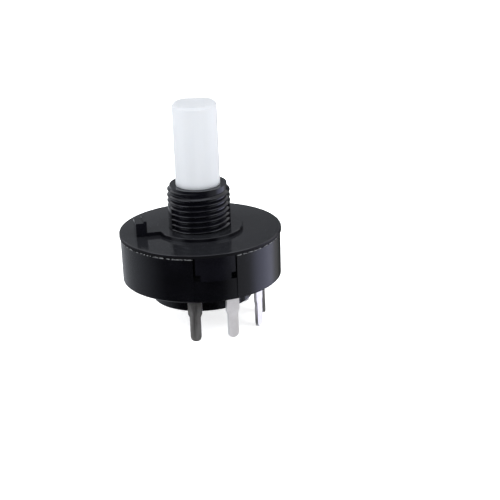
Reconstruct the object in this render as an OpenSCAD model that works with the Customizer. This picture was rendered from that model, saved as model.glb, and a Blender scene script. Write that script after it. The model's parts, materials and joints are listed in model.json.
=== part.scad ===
// Panel-mount rotary switch with a D shaft, one common terminal and six throws.
// Origin: on the shaft axis, in the plane of the panel seat (the collar's top face).
// +Z runs up the shaft. The locating key is on the -X side, the common terminal
// is on the -Y side and the throws follow it round towards +X. Millimetres.

/* [Shaft] */
// Diameter of the shaft
shaft_d = 6.35; // [5.2:0.05:7.7]
// Height of the shaft's tip above the panel seat
shaft_height = 18.15; // [14:0.05:30]
// Thickness of the shaft from its flat to its round side
shaft_across_flat = 5.56; // [5:0.01:5.8]
// Length of the flat, from the tip down
flat_length = 12.2; // [4:0.1:12.4]
// Chamfer round the tip
tip_chamfer = 0.3; // [0.1:0.05:0.6]
// Width of the grease groove just inside the bushing's mouth
groove_w = 0.6; // [0.55:0.05:0.8]
// Depth of that groove
groove_depth = 0.2; // [0.16:0.01:0.3]
// Width of the retaining flange beyond the shaft
flange_step = 0.8; // [0.5:0.05:1]
// Thickness of the retaining flange
flange_t = 0.9; // [0.6:0.05:1]
// Size of the square that drives the rotor
tang_size = 3.6; // [3:0.05:4]
// Diameter of the journal under the rotor
journal_d = 3.2; // [2.4:0.05:3.6]

/* [Cover and bushing] */
// Diameter over the crests of the bushing's thread
bushing_d = 9; // [8.6:0.05:11]
// Height of the bushing above the panel seat
bushing_height = 6.25; // [4:0.05:9]
// Height of the plain pilot at the bushing's mouth, above the thread
pilot_height = 0.4; // [0.1:0.05:1]
// Height of the taper where the thread starts, under the pilot
lead_in_height = 0.25; // [0.1:0.05:0.8]
// How far the pilot stands in from the thread's crests
lead_in_depth = 0.42; // [0.2:0.01:0.7]
// Diameter of the collar that the panel seats on
collar_d = 12.3; // [11.5:0.1:15]
// Height of the collar above the cover's face
collar_height = 0.55; // [0.2:0.05:1]
// Chamfer round the collar's upper edge
collar_chamfer = 0.1; // [0.05:0.01:0.18]
// Thickness of the cover at its rim
rim_t = 0.5; // [0.4:0.05:1.2]
// Thickness of the cover's middle plate
plate_t = 1.4; // [1.3:0.05:2]
// Radius along the cover's upper edge
rim_round = 0.12; // [0.05:0.01:0.3]
// How far the cover stands out past the base
cover_overhang = 0.15; // [0.05:0.01:0.3]

/* [Locating key] */
// Direction of the key from the axis
key_angle = 188.5; // [170:0.5:190]
// Radius to the middle of the key
key_radius = 8.58; // [8:0.01:9]
// Thickness of the key along its radius
key_t = 1.55; // [1:0.05:2]
// Length of the key round its circle
key_length = 2.7; // [1.5:0.1:4]
// Height of the key above the cover's face
key_height = 2; // [1:0.1:3]
// Width of the raised step on the key's inner edge
key_step_t = 0.45; // [0.3:0.05:0.8]
// Height of that step above the key
key_step_height = 0.25; // [0.1:0.05:0.5]

/* [Base] */
// Diameter of the base at its top
base_d = 22.9; // [22.6:0.1:28]
// Taper of the base's outside, from top to bottom, on the radius
base_draft = 0.1; // [0:0.01:0.2]
// Chamfer along the base's upper edge, under the cover's rim
seam_chamfer = 0.2; // [0.05:0.01:0.2]
// Round-over along the lower edges of the base and the boss
lower_edge = 0.15; // [0.1:0.05:0.4]
// Height of the base's wall
base_height = 6.6; // [6.3:0.05:8]
// Thickness of the base's wall
wall_t = 1.7; // [1.5:0.05:1.8]
// Thickness of the base's floor
floor_t = 1.4; // [1:0.05:1.6]
// Diameter of the boss under the base
boss_d = 14.3; // [12:0.1:15]
// Height of the boss
boss_height = 2.9; // [2.4:0.1:5]
// Thickness of the boss's outer wall
boss_wall = 1.2; // [0.8:0.05:1.6]
// Thickness of the ribs in the boss
rib_t = 0.9; // [0.6:0.05:1.2]
// Depth of the pockets between the ribs
pocket_depth = 2.2; // [1:0.1:2.4]
// Wall round the journal's bearing
bearing_wall = 1.2; // [1:0.05:1.2]
// Thickness of plastic under the bearing
bearing_floor = 0.95; // [0.6:0.05:1.4]

/* [Snap tongues] */
// Direction of each tongue from the X axis, one on each side
tongue_angle = 80.5; // [75:0.5:85]
// Angle that the notch in the base's wall spans
notch_span = 31.8; // [24:0.2:36]
// Gap at each side of a tongue
tongue_gap = 0.33; // [0.1:0.01:0.4]
// Length of a tongue below the cover's rim
tongue_length = 3.4; // [2.4:0.05:3.8]
// Height of the cut-back at a tongue's lower corners
tongue_foot = 1; // [0.4:0.1:1.2]
// Width of that cut-back
foot_cut = 0.7; // [0.2:0.01:1]
// Gap under a tongue
tongue_end_gap = 0.1; // [0.05:0.01:0.3]
// Thickness of the web left in the wall behind a tongue
web_t = 0.6; // [0.5:0.05:0.8]
// How far the wall is set back below a tongue
relief_depth = 0.1; // [0.1:0.05:0.5]
// How far a tongue's catch reaches into the web
catch_depth = 0.4; // [0.2:0.05:0.5]
// Height of the catch
catch_height = 0.7; // [0.4:0.05:0.9]
// Width of the catch
catch_width = 3; // [2:0.1:4]

/* [Terminals] */
// Radius of the circle that the blades stand on
terminal_radius = 8.7; // [8.3:0.05:8.8]
// Thickness of the terminal sheet
sheet_t = 0.45; // [0.3:0.05:0.55]
// Width of a blade's upper part
blade_w = 2; // [1.6:0.05:2.2]
// Width of a blade's lower part
tail_w = 1.55; // [1.2:0.05:1.9]
// Length of the blades below the base
blade_length = 6.75; // [5:0.05:12]
// Length of the wide part below the base
shoulder_drop = 2.65; // [1:0.05:4]
// Height of the sloping shoulder
shoulder_height = 0.45; // [0.2:0.05:0.8]
// Direction of the common terminal from the X axis
common_angle = -98.4; // [-104:0.1:-94]
// Angle from one terminal to the next, which is the index angle
index_angle = 36; // [30, 36]
// Inner end of a throw's contact arm
arm_inner_radius = 4.95; // [4.8:0.05:5.2]
// Width of the common ring
ring_w = 1.7; // [1.2:0.05:1.8]
// Gap between the journal and the common ring
ring_gap = 0.7; // [0.4:0.05:0.9]

/* [Contacts] */
// Radius to the middle of the contact buttons
button_radius = 5.85; // [5.8:0.05:6.2]
// Diameter of a contact button
button_d = 1.5; // [1.2:0.05:1.7]
// Height of a contact button above its terminal
button_height = 0.25; // [0.15:0.01:0.3]
// Diameter of a button's shank
shank_d = 0.8; // [0.6:0.05:1]
// Width of the bridge contact
bridge_w = 1.8; // [1.4:0.05:2]
// Thickness of the bridge contact
bridge_t = 0.35; // [0.2:0.01:0.4]
// Diameter of the dimple that runs on the common ring
dimple_d = 0.9; // [0.6:0.05:1.2]

/* [Rotor and detent] */
// Diameter of the rotor
rotor_d = 13.2; // [13:0.05:13.6]
// Gap between the rotor and the detent ring's crests
rotor_gap = 0.25; // [0.15:0.01:0.4]
// Depth of the detent ring's hollows
detent_depth = 0.4; // [0.2:0.02:0.5]
// Radius of the hollows
hollow_radius = 1.6; // [1.3:0.05:2]
// Thickness of the detent ring behind the hollows
detent_wall = 1.1; // [0.8:0.05:1.2]
// Diameter of the detent balls
ball_d = 2.2; // [1.8:0.05:2.3]
// Index steps from the bridge contact to each detent ball
ball_steps = 3; // [2, 3]
// Diameter of the stop pin on the rotor
stop_d = 1; // [0.8:0.05:1.2]
// Radius to the middle of the stop pin
stop_radius = 5.4; // [5.2:0.05:5.6]
// Depth of the arc that the stop pin runs in
stop_depth = 0.8; // [0.6:0.05:0.9]

/* [Springs] */
// Wire of the detent springs
detent_wire = 0.25; // [0.15:0.01:0.35]
// Wire of the contact spring
contact_wire = 0.25; // [0.15:0.01:0.35]
// Diameter of the contact spring's pocket
pocket_d = 2.3; // [1.8:0.05:2.4]
// Thickness of rotor left above that pocket
pocket_roof = 0.9; // [0.6:0.05:1.2]
// Turns in each spring
spring_turns = 4; // [3:1:6]

/* [Fits] */
// Running clearance on the radius of the shaft and the journal
running_clearance = 0.05; // [0.02:0.01:0.1]
// Clearance between pieces that are assembled and then stay put
assembly_clearance = 0.03; // [0.02:0.01:0.06]
// Clearance between a moving contact and what it slides on
sliding_clearance = 0.02; // [0.01:0.01:0.05]
// End float of the rotor and the flange
end_float = 0.06; // [0.04:0.01:0.1]

/* [Hidden] */
$fn = 96;
eps = 0.01;
throws = 6;
// The throw that the bridge contact stands on as modelled
home_throw = 3;

// Levels, from the panel seat down
face_z = -collar_height;
rim_z = face_z - rim_t;
plate_z = face_z - plate_t;
base_z = rim_z - base_height;
boss_z = base_z - boss_height;
floor_z = base_z + floor_t;
sheet_z = floor_z + sheet_t;
button_z = sheet_z + button_height;
bridge_z = button_z + sliding_clearance;
bridge_top_z = bridge_z + bridge_t;
rotor_top_z = plate_z - end_float;
rotor_bottom_z = bridge_top_z + end_float;
flange_z = rotor_top_z + end_float / 2;
recess_z = flange_z + flange_t + end_float;
ball_z = (rotor_top_z + rotor_bottom_z) / 2;
ring_bottom_z = ball_z - ball_d / 2 - end_float;
journal_z = boss_z + bearing_floor + end_float;
tip_z = base_z - blade_length;

// Radii, from the axis out
shaft_r = shaft_d / 2;
bore_r = shaft_r + running_clearance;
bushing_r = bushing_d / 2;
flange_r = shaft_r + flange_step;
recess_r = flange_r + 2 * running_clearance;
journal_r = journal_d / 2;
common_inner_r = journal_r + ring_gap;
common_outer_r = common_inner_r + ring_w;
track_radius = (common_inner_r + common_outer_r) / 2;
rotor_r = rotor_d / 2;
crest_r = rotor_r + rotor_gap;
hollow_r = crest_r + detent_depth;
ring_outer_r = hollow_r + detent_wall;
base_r = base_d / 2;
cover_r = base_r + cover_overhang;
inner_r = base_r - wall_t;
web_r = inner_r + web_t;
tongue_inner_r = web_r + assembly_clearance;

// Directions from the X axis, with the rotor at its home throw
travel = (throws - 1) * index_angle;
bridge_angle = common_angle + home_throw * index_angle;
flat_angle = 90;
ball_r = ball_d / 2;
ball_bore_r = ball_r + running_clearance;
ball_radius = crest_r - sliding_clearance - ball_r;
ball_bore_end = tang_size / sqrt(2) + 0.5;
spring_pocket_radius = (track_radius + button_radius) / 2;
stop_angle = bridge_angle + 180;
stop_arc_middle = stop_angle + travel / 2 - (home_throw - 1) * index_angle;

function throw_angle(i) = common_angle + i * index_angle;
function ball_angle(i) = bridge_angle + (i == 1 ? 1 : -1) * ball_steps * index_angle;

// Points of a round wire wound up the Z axis, one ring of points to a station
function coil_point(r, wire, turns, h, t, k, sides) =
    let (a = 360 * turns * t, b = 360 * k / sides)
    [(r + wire / 2 * cos(b)) * cos(a), (r + wire / 2 * cos(b)) * sin(a), h * t + wire / 2 * sin(b)];

module coil(r, wire, turns, h) {
    sides = 6;
    stations = turns * 14;
    rise = h - wire;
    points = [
        for (s = [0:stations], k = [0:sides - 1])
            coil_point(r, wire, turns, rise, s / stations, k, sides) + [0, 0, wire / 2]
    ];
    faces = concat(
        [[for (k = [0:sides - 1]) k]],
        [
            for (s = [0:stations - 1], k = [0:sides - 1])
                let (a = s * sides + k, b = s * sides + (k + 1) % sides)
                [a, a + sides, b + sides, b]
        ],
        [[for (k = [sides - 1:-1:0]) stations * sides + k]]
    );
    polyhedron(points, faces, convexity = 6);
}

// A ring between two radii and two levels
module ring(r_in, r_out, z0, z1) {
    translate([0, 0, z0])
        difference() {
            cylinder(r = r_out, h = z1 - z0);
            translate([0, 0, -eps]) cylinder(r = r_in, h = z1 - z0 + 2 * eps);
        }
}

// A stretch of such a ring, centred on the +X direction
module ring_sector(r_in, r_out, z0, z1, span) {
    rotate([0, 0, -span / 2])
        rotate_extrude(angle = span)
            translate([r_in, z0]) square([r_out - r_in, z1 - z0]);
}

// What is cut away to round the upper edge of a disc
module edge_cutter(r, z, round_r) {
    rotate_extrude()
        difference() {
            translate([r - round_r, z - round_r]) square([round_r + 1, round_r + 1]);
            translate([r - round_r, z - round_r]) circle(r = round_r);
        }
}

// Both snap tongues or notches, placed from one drawn on the +X side
module both_sides() {
    for (side = [-1, 1])
        rotate([0, 0, side * tongue_angle]) children();
}

function arc_angle(width, r) = 2 * asin(width / 2 / r);
tongue_span = notch_span - 2 * arc_angle(tongue_gap, cover_r);
foot_span = tongue_span - 2 * arc_angle(foot_cut, cover_r);
tongue_z = rim_z - tongue_length;
notch_z = tongue_z - tongue_end_gap;
catch_z = tongue_z + tongue_foot / 2;

module tongue() {
    corner_span = tongue_span - foot_span;
    difference() {
        ring_sector(tongue_inner_r, cover_r, tongue_z, rim_z + eps, tongue_span);
        for (side = [-1, 1])
            rotate([0, 0, side * tongue_span / 2])
                ring_sector(inner_r, cover_r + 1, tongue_z - 1, tongue_z + tongue_foot, corner_span);
    }
    catch_span = arc_angle(catch_width, tongue_inner_r);
    rotate([0, 0, -catch_span / 2])
        rotate_extrude(angle = catch_span)
            polygon([
                [tongue_inner_r + eps, catch_z],
                [tongue_inner_r + eps, catch_z + catch_height],
                [tongue_inner_r - catch_depth, catch_z + catch_height],
                [tongue_inner_r - catch_depth, catch_z + catch_height / 2]
            ]);
}

module locating_key() {
    inner = key_radius - key_t / 2;
    rotate([0, 0, key_angle]) {
        translate([inner, -key_length / 2, face_z - eps])
            cube([key_t, key_length, key_height + eps]);
        translate([inner, -key_length / 2, face_z + key_height - eps])
            cube([key_step_t, key_length, key_step_height + eps]);
        translate([collar_d / 2 - 0.5, -key_length / 2, face_z - eps])
            cube([inner - collar_d / 2 + 0.5 + eps, key_length, collar_height + eps]);
    }
}

module bushing() {
    straight = bushing_height - pilot_height - lead_in_height;
    pilot_r = bushing_r - lead_in_depth;
    translate([0, 0, face_z]) cylinder(r = bushing_r, h = straight + collar_height);
    translate([0, 0, straight]) cylinder(r1 = bushing_r, r2 = pilot_r, h = lead_in_height);
    translate([0, 0, straight + lead_in_height]) cylinder(r = pilot_r, h = pilot_height);
}

module collar() {
    translate([0, 0, face_z - eps])
        cylinder(d = collar_d, h = collar_height - collar_chamfer + eps);
    translate([0, 0, -collar_chamfer])
        cylinder(d1 = collar_d, d2 = collar_d - 2 * collar_chamfer, h = collar_chamfer);
}

module detent_ring() {
    difference() {
        ring(crest_r, ring_outer_r, ring_bottom_z, plate_z + eps);
        for (a = [bridge_angle:index_angle:bridge_angle + 359])
            rotate([0, 0, a])
                translate([hollow_r - hollow_radius, 0, ring_bottom_z - eps])
                    cylinder(r = hollow_radius, h = plate_z - ring_bottom_z + eps);
    }
}

// The arc that the rotor's stop pin runs in
module stop_arc() {
    r = stop_d / 2 + running_clearance;
    span = travel + arc_angle(2 * r, stop_radius);
    rotate([0, 0, stop_arc_middle])
        ring_sector(stop_radius - r, stop_radius + r, plate_z - eps, plate_z + stop_depth, span);
}

module front_housing() {
    color("#1b1b1e") {
        difference() {
            union() {
                translate([0, 0, rim_z]) cylinder(r = cover_r, h = rim_t);
                translate([0, 0, plate_z]) cylinder(r = inner_r - assembly_clearance, h = plate_t);
                collar();
                bushing();
                locating_key();
            }
            edge_cutter(cover_r, face_z, rim_round);
            translate([0, 0, plate_z - eps])
                cylinder(r = bore_r, h = bushing_height - plate_z + 2 * eps);
            translate([0, 0, plate_z - eps]) cylinder(r = recess_r, h = recess_z - plate_z + eps);
            stop_arc();
        }
        detent_ring();
        both_sides() tongue();
    }
}

module terminal_slot() {
    w = blade_w / 2 + assembly_clearance;
    t = sheet_t / 2 + assembly_clearance;
    translate([terminal_radius - t, -w, base_z - eps]) cube([2 * t, 2 * w, floor_t + 2 * eps]);
}

module boss_pockets() {
    hub_r = journal_r + running_clearance + bearing_wall;
    difference() {
        ring(hub_r, boss_d / 2 - boss_wall, boss_z - eps, boss_z + pocket_depth);
        for (a = [45, 135])
            rotate([0, 0, a])
                translate([-boss_d / 2, -rib_t / 2, boss_z - 2 * eps])
                    cube([boss_d, rib_t, pocket_depth + 4 * eps]);
    }
}

// The notch that a tongue fills, the set-back wall under it and the catch's window
module notch() {
    ring_sector(web_r, base_r + 1, notch_z, rim_z + 1, notch_span);
    ring_sector(base_r - base_draft - relief_depth, base_r + 1, base_z - 1, notch_z + eps, notch_span);
    window = arc_angle(catch_width + 4 * assembly_clearance, web_r);
    ring_sector(
        inner_r - 1, web_r + eps,
        catch_z - assembly_clearance, catch_z + catch_height + 2 * assembly_clearance,
        window
    );
}

module rear_base() {
    foot_r = base_r - base_draft;
    boss_r = boss_d / 2;
    color("#151517")
        difference() {
            rotate_extrude()
                polygon([
                    [0, boss_z], [boss_r - lower_edge, boss_z], [boss_r, boss_z + lower_edge],
                    [boss_r, base_z], [foot_r - lower_edge, base_z], [foot_r, base_z + lower_edge],
                    [base_r, rim_z - seam_chamfer], [base_r - seam_chamfer, rim_z], [0, rim_z]
                ]);
            translate([0, 0, floor_z]) cylinder(r = inner_r, h = base_height);
            translate([0, 0, boss_z + bearing_floor])
                cylinder(r = journal_r + running_clearance, h = boss_height + floor_t);
            boss_pockets();
            for (i = [0:throws])
                rotate([0, 0, throw_angle(i)]) terminal_slot();
            both_sides() notch();
        }
}

module shaft() {
    flat_r = shaft_across_flat - shaft_r;
    color("#eef1f4") {
        difference() {
            union() {
                translate([0, 0, flange_z]) cylinder(r = shaft_r, h = shaft_height - tip_chamfer - flange_z);
                translate([0, 0, shaft_height - tip_chamfer])
                    cylinder(r1 = shaft_r, r2 = shaft_r - tip_chamfer, h = tip_chamfer);
            }
            rotate([0, 0, flat_angle])
                translate([flat_r, -shaft_d, shaft_height - flat_length])
                    cube([shaft_d, 2 * shaft_d, flat_length + 1]);
            ring(shaft_r - groove_depth, shaft_r + 1, bushing_height - groove_w, bushing_height);
        }
        translate([0, 0, flange_z]) cylinder(r = flange_r, h = flange_t);
        translate([-tang_size / 2, -tang_size / 2, rotor_bottom_z])
            cube([tang_size, tang_size, flange_z - rotor_bottom_z + eps]);
        translate([0, 0, journal_z]) cylinder(r = journal_r, h = rotor_bottom_z - journal_z + eps);
    }
}

// The two ribs that carry the bridge contact round
module bridge_guides() {
    w = bridge_w / 2 + assembly_clearance;
    rib = 0.6;
    inner = common_inner_r + 0.2;
    for (side = [-1, 1])
        translate([inner, side * (w + rib / 2) - rib / 2, bridge_z + bridge_t / 3])
            cube([rotor_r - 0.5 - inner, rib, rotor_bottom_z - bridge_z - bridge_t / 3 + eps]);
}

module rotor() {
    hole = tang_size + 2 * assembly_clearance;
    color("#d8d4c4")
        difference() {
            union() {
                translate([0, 0, rotor_bottom_z]) cylinder(r = rotor_r, h = rotor_top_z - rotor_bottom_z);
                rotate([0, 0, bridge_angle]) bridge_guides();
                rotate([0, 0, stop_angle])
                    translate([stop_radius, 0, rotor_top_z - eps])
                        cylinder(d = stop_d, h = stop_depth + eps);
            }
            translate([-hole / 2, -hole / 2, rotor_bottom_z - 1])
                cube([hole, hole, rotor_top_z - rotor_bottom_z + 2]);
            for (i = [1, 2])
                rotate([0, 0, ball_angle(i)])
                    translate([ball_bore_end, 0, ball_z])
                        rotate([0, 90, 0]) cylinder(r = ball_bore_r, h = rotor_r);
            rotate([0, 0, bridge_angle])
                translate([spring_pocket_radius, 0, rotor_bottom_z - eps])
                    cylinder(d = pocket_d, h = rotor_top_z - pocket_roof - rotor_bottom_z + eps);
        }
}

module bridge_contact() {
    start = common_inner_r + 0.2;
    end = button_radius + button_d / 2;
    color("#b8863b")
        rotate([0, 0, bridge_angle]) {
            translate([start, -bridge_w / 2, bridge_z]) cube([end - start, bridge_w, bridge_t]);
            translate([track_radius, 0, sheet_z + sliding_clearance])
                cylinder(d1 = dimple_d / 2, d2 = dimple_d, h = bridge_z - sheet_z - sliding_clearance + eps);
        }
}

module contact_spring() {
    height = rotor_top_z - pocket_roof - bridge_top_z - 2 * sliding_clearance;
    coil_r = (pocket_d - contact_wire) / 2 - assembly_clearance;
    color("silver")
        rotate([0, 0, bridge_angle])
            translate([spring_pocket_radius, 0, bridge_top_z + sliding_clearance])
                coil(coil_r, contact_wire, spring_turns, height);
}

module detent_ball(i) {
    color("#c9ccd0")
        rotate([0, 0, ball_angle(i)]) translate([ball_radius, 0, ball_z]) sphere(r = ball_r);
}

// A detent spring reaches from its bore's end to where the ball has narrowed to its wire
module detent_spring(i) {
    coil_r = ball_r * 0.6;
    seat = ball_r - sqrt(pow(ball_r, 2) - pow(coil_r - detent_wire / 2, 2));
    start = ball_bore_end + sliding_clearance;
    height = ball_radius - ball_r - start + seat;
    color("silver")
        rotate([0, 0, ball_angle(i)])
            translate([start, 0, ball_z])
                rotate([0, 90, 0]) coil(coil_r, detent_wire, spring_turns, height);
}

// A blade seen along its radius: shoulders, tail and a round tip
module blade_outline() {
    shoulder = base_z - shoulder_drop;
    tail_r = tail_w / 2;
    translate([-blade_w / 2, shoulder]) square([blade_w, floor_z - shoulder + eps]);
    polygon([
        [-blade_w / 2, shoulder + eps], [blade_w / 2, shoulder + eps],
        [tail_r, shoulder - shoulder_height], [-tail_r, shoulder - shoulder_height]
    ]);
    translate([-tail_r, tip_z + tail_r]) square([tail_w, shoulder - shoulder_height - tip_z - tail_r + eps]);
    translate([0, tip_z + tail_r]) circle(r = tail_r);
}

// A blade and the arm that runs in from it over the floor
module blade_and_arm(inner) {
    half = sheet_t / 2;
    translate([terminal_radius - half, 0, 0])
        rotate([90, 0, 90]) linear_extrude(sheet_t) blade_outline();
    translate([inner, -blade_w / 2, floor_z])
        cube([terminal_radius + half - inner, blade_w, sheet_t]);
}

module throw_terminal(i) {
    color("#c3c5c8")
        rotate([0, 0, throw_angle(i)])
            difference() {
                blade_and_arm(arm_inner_radius);
                translate([button_radius, 0, floor_z - eps])
                    cylinder(d = shank_d + 2 * assembly_clearance, h = sheet_t + 2 * eps);
            }
}

module common_terminal() {
    color("#c3c5c8")
        rotate([0, 0, throw_angle(0)]) {
            blade_and_arm(track_radius);
            ring(common_inner_r, common_outer_r, floor_z, sheet_z);
        }
}

module contact_button(i) {
    color("#dfe1e4")
        rotate([0, 0, throw_angle(i)])
            translate([button_radius, 0, 0]) {
                translate([0, 0, floor_z + sliding_clearance])
                    cylinder(d = shank_d, h = sheet_t);
                translate([0, 0, sheet_z])
                    cylinder(d1 = button_d, d2 = button_d - button_height, h = button_height);
            }
}

front_housing();
rear_base();
shaft();
rotor();
bridge_contact();
contact_spring();
common_terminal();
for (i = [1, 2]) detent_ball(i);
for (i = [1, 2]) detent_spring(i);
for (i = [1:throws]) throw_terminal(i);
for (i = [1:throws]) contact_button(i);
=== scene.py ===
"""The looks of the rotary switch: the bushing's thread, the materials, the studio, the camera."""

import json
import math

import bmesh
import bpy
from mathutils import Matrix, Vector


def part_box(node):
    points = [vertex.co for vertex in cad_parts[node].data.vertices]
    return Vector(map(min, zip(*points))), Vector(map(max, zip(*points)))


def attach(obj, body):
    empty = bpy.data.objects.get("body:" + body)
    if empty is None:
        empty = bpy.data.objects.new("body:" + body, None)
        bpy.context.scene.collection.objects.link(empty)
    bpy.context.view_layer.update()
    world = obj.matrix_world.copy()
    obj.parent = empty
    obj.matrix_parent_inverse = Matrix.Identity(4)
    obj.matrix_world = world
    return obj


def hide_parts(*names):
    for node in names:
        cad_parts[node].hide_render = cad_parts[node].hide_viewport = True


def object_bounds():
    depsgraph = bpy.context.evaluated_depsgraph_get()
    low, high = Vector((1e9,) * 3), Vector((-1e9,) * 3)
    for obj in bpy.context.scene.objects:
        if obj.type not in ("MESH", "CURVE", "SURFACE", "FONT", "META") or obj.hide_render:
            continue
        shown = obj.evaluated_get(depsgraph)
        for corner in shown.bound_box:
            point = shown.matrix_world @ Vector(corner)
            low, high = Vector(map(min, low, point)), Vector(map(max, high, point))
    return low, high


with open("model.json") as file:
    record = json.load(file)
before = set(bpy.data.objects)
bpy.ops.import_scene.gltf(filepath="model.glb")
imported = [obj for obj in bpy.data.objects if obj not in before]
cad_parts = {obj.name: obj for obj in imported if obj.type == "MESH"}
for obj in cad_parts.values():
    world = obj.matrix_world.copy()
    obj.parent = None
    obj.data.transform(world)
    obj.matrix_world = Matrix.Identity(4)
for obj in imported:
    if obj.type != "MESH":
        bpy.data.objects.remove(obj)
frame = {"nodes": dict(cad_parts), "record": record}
CAD_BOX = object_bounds()
NODES = frame["nodes"]
MOUNTS = {mount["name"]: mount for mount in frame["record"]["mounts"]}

# Sizes in metres, in the part's own frame: the shaft's axis is Z, and the panel rests at Z = 0
MM = 0.001
BUSHING_R = MOUNTS["bushing_thread"]["dims"]["r_mm"] * MM
MOUTH_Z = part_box("front_housing")[1][2]
PILOT_R = BUSHING_R - 0.42 * MM
PILOT_Z = MOUNTS["bushing_thread"]["dims"]["length_mm"] * MM + 0.25 * MM
BASE_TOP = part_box("rear_base")[1][2]
COVER_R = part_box("front_housing")[1][0]
COVER_SIDE_TOP = BASE_TOP + 0.38 * MM

# The broken light line on the base's upper edge, partly wear and flash and partly a painted
# highlight of the edge catching light: where it begins, and above what height it is full
WEAR_AND_HIGHLIGHT_START = BASE_TOP - 0.26 * MM
WEAR_AND_HIGHLIGHT_FULL = BASE_TOP - 0.18 * MM

# The thread is 32 to the inch, with a short plain neck under it. Its last turn fades out over
# RUN_OUT. LAP is how far the thread's surface laps over the collar's face
PITCH = 25.4 * MM / 32
THREAD_START = -0.1 * MM
THREAD_DEPTH = 0.45 * MM
NECK_R = BUSHING_R - THREAD_DEPTH
NECK_TOP = 0.1 * MM
RUN_OUT = 0.22 * MM
RUN_OUT_Z = PILOT_Z - 0.1 * MM - RUN_OUT
LAP = 0.01 * MM
COLUMNS = 192

# The thread's section: where a flank leaves the root and meets the crest, as shares of the pitch
# and of the depth, and the lean in degrees that the round crest starts from
FLANK_FOOT = 0.11
FLANK_TIP = (0.385, 0.86)
CREST_LEAN = 60
CREST_STEPS = 5

# The mould's halves part along the key's direction, and leave a plain band on the thread there
KEY_PLACE = MOUNTS["locating_key"]["pos_m"]
BAND_ANGLE = math.atan2(KEY_PLACE[1], KEY_PLACE[0])
BAND_HALF_ANGLE = math.radians(18.7)
BAND_WALL = math.radians(0.6)
BAND_R = BUSHING_R - 0.05 * MM
BAND_TOP = 3.3 * MM
BAND_END = 0.1 * MM

# Mesh work: how close two points count as one, how close a point counts as on a surface, how far
# the middle of a flat facet can dip inside the cover's round side, and how much the surface turns
# before an edge shows
SAME = 0.001 * MM
NEAR = 0.02 * MM
FACET_DIP = 0.1 * MM
SHARP = math.radians(24)

# The camera: the level it turns about, where it stands, how it is turned, and how far off that
# level's middle it is aimed
CAMERA_LEVEL = -0.45 * MM
CAMERA_ELEVATION = math.radians(19.33)
CAMERA_ROLL = math.radians(-2.77)
CAMERA_DISTANCE = 0.328
CAMERA_LENS = 165.2
AIM_RIGHT = 7.14 * MM
AIM_DOWN = 3.23 * MM


def clamp(value):
    """The value, held between 0 and 1."""
    return min(max(value, 0), 1)


# ---------------------------------------------------------------- shader nodes

def material(name, color, roughness, metallic=0.0, specular=0.5):
    """A new Principled material. Returns it with its node tree and its shader."""
    mat = bpy.data.materials.new(name)
    mat.use_nodes = True
    shader = mat.node_tree.nodes["Principled BSDF"]
    shader.inputs["Base Color"].default_value = (*color, 1)
    shader.inputs["Roughness"].default_value = roughness
    shader.inputs["Metallic"].default_value = metallic
    shader.inputs["Specular IOR Level"].default_value = specular
    return mat, mat.node_tree, shader


def noise(tree, scale, detail, stretch=(1, 1, 1)):
    """Noise on the object's own coordinates, stretched along the axes by the given factors."""
    coords = tree.nodes.new("ShaderNodeTexCoord")
    mapping = tree.nodes.new("ShaderNodeMapping")
    mapping.inputs["Scale"].default_value = stretch
    texture = tree.nodes.new("ShaderNodeTexNoise")
    texture.inputs["Scale"].default_value = scale
    texture.inputs["Detail"].default_value = detail
    tree.links.new(coords.outputs["Object"], mapping.inputs["Vector"])
    tree.links.new(mapping.outputs["Vector"], texture.inputs["Vector"])
    return texture.outputs["Fac"]


def upward(tree, coordinate):
    """The Z share of a texture coordinate, such as Object or Normal."""
    coords = tree.nodes.new("ShaderNodeTexCoord")
    split = tree.nodes.new("ShaderNodeSeparateXYZ")
    tree.links.new(coords.outputs[coordinate], split.inputs["Vector"])
    return split.outputs["Z"]


def ramp(tree, value, start, end, low=0.0, high=1.0, ease="LINEAR"):
    """A number that goes from low to high while the value goes from start to end."""
    span = tree.nodes.new("ShaderNodeMapRange")
    span.interpolation_type = ease
    span.inputs["From Min"].default_value = start
    span.inputs["From Max"].default_value = end
    span.inputs["To Min"].default_value = low
    span.inputs["To Max"].default_value = high
    tree.links.new(value, span.inputs["Value"])
    return span.outputs["Result"]


def vary(tree, value, low, high, socket):
    """Drives a number socket from noise, between low and high."""
    tree.links.new(ramp(tree, value, 0.3, 0.7, low, high), socket)


def tint(tree, value, low, high, socket):
    """Drives a colour socket from noise, between two colours."""
    colors = tree.nodes.new("ShaderNodeValToRGB")
    colors.color_ramp.elements[0].position = 0.3
    colors.color_ramp.elements[0].color = (*low, 1)
    colors.color_ramp.elements[1].position = 0.7
    colors.color_ramp.elements[1].color = (*high, 1)
    tree.links.new(value, colors.inputs["Fac"])
    tree.links.new(colors.outputs["Color"], socket)


def bump(tree, shader, height, distance, strength):
    """Adds a bump from a height value, distance in metres."""
    node = tree.nodes.new("ShaderNodeBump")
    node.inputs["Distance"].default_value = distance
    node.inputs["Strength"].default_value = strength
    tree.links.new(height, node.inputs["Height"])
    tree.links.new(node.outputs["Normal"], shader.inputs["Normal"])


def lay_over(tree, share, value, socket):
    """Lays a fixed colour over what already drives a socket, by a share from 0 to 1."""
    mix = tree.nodes.new("ShaderNodeMixRGB")
    mix.inputs["Color2"].default_value = (*value, 1)
    tree.links.new(share, mix.inputs["Fac"])
    tree.links.new(socket.links[0].from_socket, mix.inputs["Color1"])
    tree.links.new(mix.outputs["Color"], socket)


# ---------------------------------------------------------------- materials

def black_moulding(name, color, lighter, smooth, rough):
    """Black moulded plastic, with faint flow marks and a gloss that varies from smooth to rough."""
    mat, tree, shader = material(name, color, smooth, specular=0.3)
    shader.inputs["Specular Tint"].default_value = (0.9, 0.93, 1.0, 1)
    tint(tree, noise(tree, scale=260, detail=3), color, lighter, shader.inputs["Base Color"])
    vary(tree, noise(tree, scale=900, detail=5), smooth, rough, shader.inputs["Roughness"])
    bump(tree, shader, noise(tree, scale=1500, detail=3), distance=0.00002, strength=0.12)
    return mat, tree, shader


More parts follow.
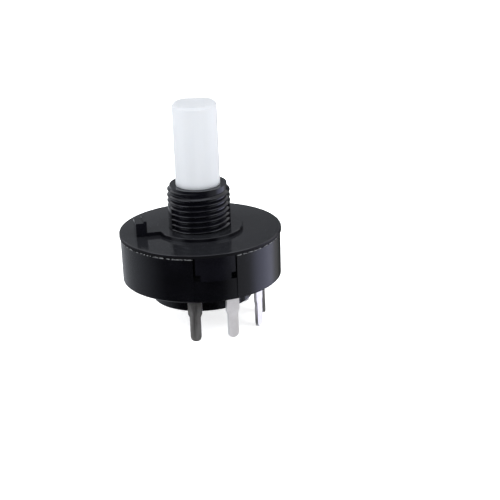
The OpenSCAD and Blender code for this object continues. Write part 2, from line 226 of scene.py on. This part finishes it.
def black_cover():
    """The front housing's plastic: glossy, with a painted sheen that makes the faces pointing
    straight up lighter.
    """
    mat, tree, shader = black_moulding(
        "black_cover", (0.002, 0.002, 0.003), (0.004, 0.004, 0.006), smooth=0.07, rough=0.14
    )
    # Painted sheen: faces that point straight up get a lighter base colour, standing in for the
    # grey glint of the glossy top
    painted_sheen = ramp(tree, upward(tree, "Normal"), 0.94, 0.99)
    lay_over(tree, painted_sheen, (0.011, 0.0115, 0.0135), shader.inputs["Base Color"])
    return mat


def black_base():
    """The base's plastic: duller, its upper edge under the cover painted to a broken light line,
    partly scuffs and flash and partly a painted highlight of the edge catching light.
    """
    mat, tree, shader = black_moulding(
        "black_base", (0.001, 0.001, 0.0015), (0.002, 0.002, 0.003), smooth=0.15, rough=0.24
    )
    # The light line on the upper edge: partly scuffs and flash, partly a painted highlight where
    # the edge would catch light
    edge = ramp(tree, upward(tree, "Object"), WEAR_AND_HIGHLIGHT_START, WEAR_AND_HIGHLIGHT_FULL)
    speckle = ramp(tree, noise(tree, scale=3000, detail=5), 0.42, 0.58)
    share = tree.nodes.new("ShaderNodeMath")
    share.operation = "MULTIPLY"
    tree.links.new(edge, share.inputs[0])
    tree.links.new(speckle, share.inputs[1])
    lay_over(tree, share.outputs["Value"], (0.25, 0.255, 0.26), shader.inputs["Base Color"])
    lay_over(tree, share.outputs["Value"], (0.6, 0.6, 0.6), shader.inputs["Roughness"])
    return mat


def parted_edge():
    """The cover's side, which is duller than its face."""
    return material("parted_edge", (0.002, 0.002, 0.003), 0.5, specular=0.12)[0]


def white_nylon():
    """Natural white nylon: satin, a little translucent, with faint draw lines up the shaft."""
    mat, tree, shader = material("white_nylon", (0.49, 0.50, 0.52), 0.45, specular=0.1)
    shader.inputs["Subsurface Weight"].default_value = 0.25
    shader.inputs["Subsurface Radius"].default_value = (1.0, 0.9, 0.8)
    shader.inputs["Subsurface Scale"].default_value = 0.0012
    lines = noise(tree, scale=500, detail=3, stretch=(1, 1, 0.06))
    tint(tree, lines, (0.465, 0.478, 0.497), (0.502, 0.515, 0.535), shader.inputs["Base Color"])
    vary(tree, noise(tree, scale=1400, detail=3), 0.32, 0.44, shader.inputs["Roughness"])
    bump(tree, shader, lines, distance=0.00002, strength=0.15)
    return mat


def tinned_sheet():
    """Tin-plated sheet: soft grey metal with rolling lines along the blade and dull patches."""
    mat, tree, shader = material("tinned_sheet", (0.93, 0.915, 0.91), 0.3, metallic=1.0)
    patches = noise(tree, scale=700, detail=4)
    tint(tree, patches, (0.82, 0.80, 0.79), (0.97, 0.96, 0.95), shader.inputs["Base Color"])
    lines = noise(tree, scale=1800, detail=4, stretch=(1, 1, 0.1))
    vary(tree, lines, 0.3, 0.48, shader.inputs["Roughness"])
    grain = noise(tree, scale=3000, detail=3, stretch=(1, 1, 0.5))
    bump(tree, shader, grain, distance=0.00003, strength=0.5)
    return mat


def plain_metal(name, color, roughness):
    """A worked metal for the inner pieces, with a fine grain."""
    mat, tree, shader = material(name, color, roughness, metallic=1.0)
    gloss = noise(tree, scale=2500, detail=3)
    vary(tree, gloss, roughness * 0.7, roughness * 1.4, shader.inputs["Roughness"])
    bump(tree, shader, noise(tree, scale=4000, detail=2), distance=0.000005, strength=0.2)
    return mat


def natural_acetal():
    """Unpigmented acetal for the rotor."""
    mat, tree, shader = material("natural_acetal", (0.72, 0.69, 0.60), 0.4)
    shader.inputs["Subsurface Weight"].default_value = 0.15
    shader.inputs["Subsurface Scale"].default_value = 0.0008
    clouds = noise(tree, scale=400, detail=3)
    tint(tree, clouds, (0.69, 0.66, 0.57), (0.74, 0.71, 0.62), shader.inputs["Base Color"])
    bump(tree, shader, noise(tree, scale=1600, detail=2), distance=0.00001, strength=0.2)
    return mat


def paint(node, mat):
    """Gives a CAD node its material in every slot."""
    for slot in NODES[node].material_slots:
        slot.material = mat


# ------------------------------------------------------------------- thread

def thread_profile():
    """One pitch of the thread as (share of the pitch, share of the depth), from root to root.
    It has a flat root, two straight flanks and a round crest."""
    share, depth = FLANK_TIP
    points = [(0.0, 0.0), (FLANK_FOOT, 0.0), FLANK_TIP]
    step_lean = 2 * CREST_LEAN / CREST_STEPS
    leans = [math.radians(CREST_LEAN - step_lean * (step + 0.5)) for step in range(CREST_STEPS)]
    run = (1 - 2 * share) / sum(math.cos(lean) for lean in leans)
    for lean in leans:
        share += run * math.cos(lean)
        depth += run * PITCH / THREAD_DEPTH * math.sin(lean)
        points.append((share, depth))
    points.append((1 - FLANK_FOOT, 0.0))
    return points


def band_offset(angle):
    """The angle from a direction to the middle of the nearer band."""
    off = abs(math.remainder(angle - BAND_ANGLE, 2 * math.pi))
    return min(off, math.pi - off)


def band_share(angle, z):
    """1 in the plain bands, 0 on the full thread."""
    across = clamp((BAND_HALF_ANGLE + BAND_WALL - band_offset(angle)) / BAND_WALL)
    return across * clamp((BAND_TOP - z) / BAND_END)


def thread_radius(angle, z, depth_share, crest_z):
    """The bushing's outer radius at a point of the turn whose crest is at crest_z. The last turn
    fades out into the plain pilot at the mouth."""
    fade = clamp((crest_z - RUN_OUT_Z) / RUN_OUT)
    root = NECK_R + (PILOT_R - NECK_R) * fade
    radius = root + THREAD_DEPTH * depth_share * (1 - fade)
    share = band_share(angle, z)
    return radius * (1 - share) + BAND_R * share


def column_angles():
    """The directions of the surface's columns, with one on each side of every band's end walls."""
    walls = []
    for middle in (BAND_ANGLE, BAND_ANGLE + math.pi):
        for side in (-1, 1):
            for off in (BAND_HALF_ANGLE, BAND_HALF_ANGLE + BAND_WALL):
                walls.append((middle + side * off) % (2 * math.pi))
    evenly = [2 * math.pi * i / COLUMNS for i in range(COLUMNS + 1)]
    clear = [a for a in evenly if all(abs(a - wall) > BAND_WALL for wall in walls)]
    return sorted(clear + walls)


def thread_surface(bm):
    """Adds the threaded outer wall of the bushing, from just on the collar up to its mouth."""
    profile = thread_profile()
    turns = math.ceil((PILOT_Z - NECK_TOP) / PITCH) + 2
    grid = []
    for angle in column_angles():
        start = NECK_TOP + THREAD_START + PITCH * (angle / (2 * math.pi) - 1)
        points = [(BUSHING_R + LAP, 0.0), (NECK_R, 0.0)]
        for turn in range(turns):
            crest_z = start + PITCH * (turn + 0.5)
            for share, depth in profile:
                z = start + PITCH * (turn + share)
                on_thread = NECK_TOP < z < PILOT_Z
                z = min(max(z, NECK_TOP), PILOT_Z)
                radius = thread_radius(angle, z, depth if on_thread else 0.0, crest_z)
                points.append((radius, z))
        points.append((PILOT_R, PILOT_Z))
        points.append((PILOT_R, MOUTH_Z))
        turned = [(r * math.cos(angle), r * math.sin(angle), z) for r, z in points]
        grid.append([bm.verts.new(place) for place in turned])
    for left, right in zip(grid, grid[1:]):
        for i in range(len(left) - 1):
            bm.faces.new((left[i], right[i], right[i + 1], left[i + 1]))


def is_bushing_wall(face):
    """True for the faces of the CAD bushing's plain cylinder, of its taper and of its pilot."""
    heights = [v.co.z for v in face.verts]
    upright = max(heights) - min(heights) > NEAR
    return upright and min(heights) > -NEAR and all(
        PILOT_R - NEAR < v.co.xy.length < BUSHING_R + NEAR for v in face.verts
    )


def is_cover_side(polygon):
    """True for the cover's outer side, below the rounding of its top edge."""
    place = polygon.center
    return place.xy.length > COVER_R - FACET_DIP and BASE_TOP < place.z < COVER_SIDE_TOP


def threaded_housing():
    """The front housing as the CAD has it, with the thread in place of the bushing's plain wall."""
    mesh = bpy.data.meshes.new("housing_moulding")
    bm = bmesh.new()
    bm.from_mesh(NODES["front_housing"].data)
    bmesh.ops.delete(bm, geom=[f for f in bm.faces if is_bushing_wall(f)], context="FACES")
    thread_surface(bm)
    bmesh.ops.remove_doubles(bm, verts=bm.verts, dist=SAME)
    bmesh.ops.dissolve_degenerate(bm, edges=bm.edges, dist=SAME)
    for edge in bm.edges:
        edge.smooth = edge.is_manifold and edge.calc_face_angle() < SHARP
    bm.to_mesh(mesh)
    bm.free()
    mesh.materials.append(black_cover())
    mesh.materials.append(parted_edge())
    for polygon in mesh.polygons:
        polygon.material_index = int(is_cover_side(polygon))
        polygon.use_smooth = True
    housing = bpy.data.objects.new("housing_moulding", mesh)
    bpy.context.collection.objects.link(housing)
    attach(housing, "housing")
    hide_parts("front_housing")


# ------------------------------------------------------------ studio, camera

def add_floor():
    """A pale light table under the blades' tips. Glossy rays pass it and see the surround."""
    half = 3.0
    z = CAD_BOX[0][2]
    corners = [(-half, -half, z), (half, -half, z), (half, half, z), (-half, half, z)]
    mesh = bpy.data.meshes.new("floor")
    mesh.from_pydata(corners, [], [(0, 1, 2, 3)])
    mat, _, shader = material("floor_white", (0.93, 0.93, 0.93), 0.9, specular=0.1)
    shader.inputs["Emission Color"].default_value = (1, 1, 1, 1)
    shader.inputs["Emission Strength"].default_value = 0.65
    mesh.materials.append(mat)
    floor = bpy.data.objects.new("floor", mesh)
    bpy.context.collection.objects.link(floor)
    floor.visible_glossy = False


def area_light(name, place, size, watts):
    """A soft square light at a place, turned to the switch."""
    data = bpy.data.lights.new(name, "AREA")
    data.size = size
    data.energy = watts
    light = bpy.data.objects.new(name, data)
    bpy.context.collection.objects.link(light)
    light.location = place
    towards = Vector((0, 0, 0)) - Vector(place)
    light.rotation_euler = towards.to_track_quat("-Z", "Y").to_euler()


def glow(tree, way, azimuth, elevation, edge, full, strength, color):
    """A soft patch of the studio's surround, as a colour. It lies round a direction in degrees,
    begins where the cosine to that direction is edge, and is full where the cosine is full."""
    turn, tilt = math.radians(azimuth), math.radians(elevation)
    middle = (math.cos(turn) * math.cos(tilt), math.sin(turn) * math.cos(tilt), math.sin(tilt))
    cosine = tree.nodes.new("ShaderNodeVectorMath")
    cosine.operation = "DOT_PRODUCT"
    cosine.inputs[1].default_value = middle
    tree.links.new(way, cosine.inputs[0])
    fade = ramp(tree, cosine.outputs["Value"], edge, full, ease="SMOOTHSTEP")
    patch = tree.nodes.new("ShaderNodeVectorMath")
    patch.operation = "SCALE"
    patch.inputs[0].default_value = [strength * share for share in color]
    tree.links.new(fade, patch.inputs["Scale"])
    return patch.outputs["Vector"]


def add_studio():
    """Lights the studio. Its surround is dim, with screens above the front, at both front corners
    and overhead. Below the horizon are what the walls and blades mirror of the lit table: a wide
    light from the back left, and one from the right with a bluish streak in it."""
    world = bpy.data.worlds.new("studio")
    bpy.context.scene.world = world
    world.use_nodes = True
    tree = world.node_tree
    way = tree.nodes.new("ShaderNodeTexCoord").outputs["Generated"]
    cool = (0.95, 0.97, 1.0)
    everywhere = glow(tree, way, 0, 90, -2.0, -1.5, 0.01, (1, 1, 1))
    upper_half = glow(tree, way, 0, 90, -0.05, 0.12, 0.12, (0.92, 0.95, 1.0))
    above_front = glow(tree, way, -90, 42, 0.87, 0.97, 0.85, cool)
    front_left = glow(tree, way, -155, 34, 0.89, 0.975, 4.2, cool)
    front_right = glow(tree, way, -28, 34, 0.89, 0.975, 3.2, cool)
    overhead = glow(tree, way, 90, 80, 0.94, 0.985, 1.0, cool)
    low_left = glow(tree, way, 140, -19, 0.286, 0.955, 0.58, (0.95, 0.99, 1.06))
    low_right = glow(tree, way, 2, -19, 0.45, 0.92, 0.75, (0.98, 0.98, 1.0))
    low_streak = glow(tree, way, 12, -19, 0.866, 1.0, 1.2, (0.92, 0.94, 1.35))
    total = everywhere
    for patch in (
        upper_half, above_front, front_left, front_right, overhead, low_left, low_right, low_streak
    ):
        both = tree.nodes.new("ShaderNodeVectorMath")
        both.operation = "ADD"
        tree.links.new(total, both.inputs[0])
        tree.links.new(patch, both.inputs[1])
        total = both.outputs["Vector"]
    tree.links.new(total, tree.nodes["Background"].inputs["Color"])
    area_light("overhead", (0.0, 0.1, 0.8), size=2.4, watts=19.2)
    area_light("front", (-0.5, -1.1, 0.5), size=1.4, watts=1.0)
    area_light("left", (-1.2, 0.3, 0.4), size=1.2, watts=0.3)


def add_camera():
    """The photograph's viewpoint, aimed beside the switch so that it sits left of the middle."""
    middle = Vector((0, 0, CAMERA_LEVEL))
    back = Vector((0, -math.cos(CAMERA_ELEVATION), math.sin(CAMERA_ELEVATION)))
    place = middle + back * CAMERA_DISTANCE
    turn = back.to_track_quat("Z", "Y").to_matrix() @ Matrix.Rotation(CAMERA_ROLL, 3, "Z")
    aim = middle + turn @ Vector((AIM_RIGHT, -AIM_DOWN, 0))
    swing = (middle - place).rotation_difference(aim - place).to_matrix()
    data = bpy.data.cameras.new("camera")
    data.lens = CAMERA_LENS
    data.clip_start = 0.01
    camera = bpy.data.objects.new("camera", data)
    bpy.context.collection.objects.link(camera)
    camera.matrix_world = Matrix.Translation(place) @ (swing @ turn).to_4x4()
    bpy.context.scene.camera = camera


# --------------------------------------------------------------------- build

paint("rear_base", black_base())
paint("shaft", white_nylon())
paint("rotor", natural_acetal())
paint("bridge_contact", plain_metal("bronze", (0.70, 0.45, 0.26), 0.3))
FINISHES = {
    "terminal": tinned_sheet(),
    "spring": plain_metal("spring_wire", (0.55, 0.56, 0.58), 0.3),
    "button": plain_metal("contact_silver", (0.86, 0.86, 0.84), 0.25),
    "ball": plain_metal("ball_steel", (0.70, 0.71, 0.73), 0.1),
}
for word, finish in FINISHES.items():
    for name in NODES:
        if word in name:
            paint(name, finish)
threaded_housing()
add_floor()
add_studio()
add_camera()
bpy.context.scene.view_settings.view_transform = "Standard"
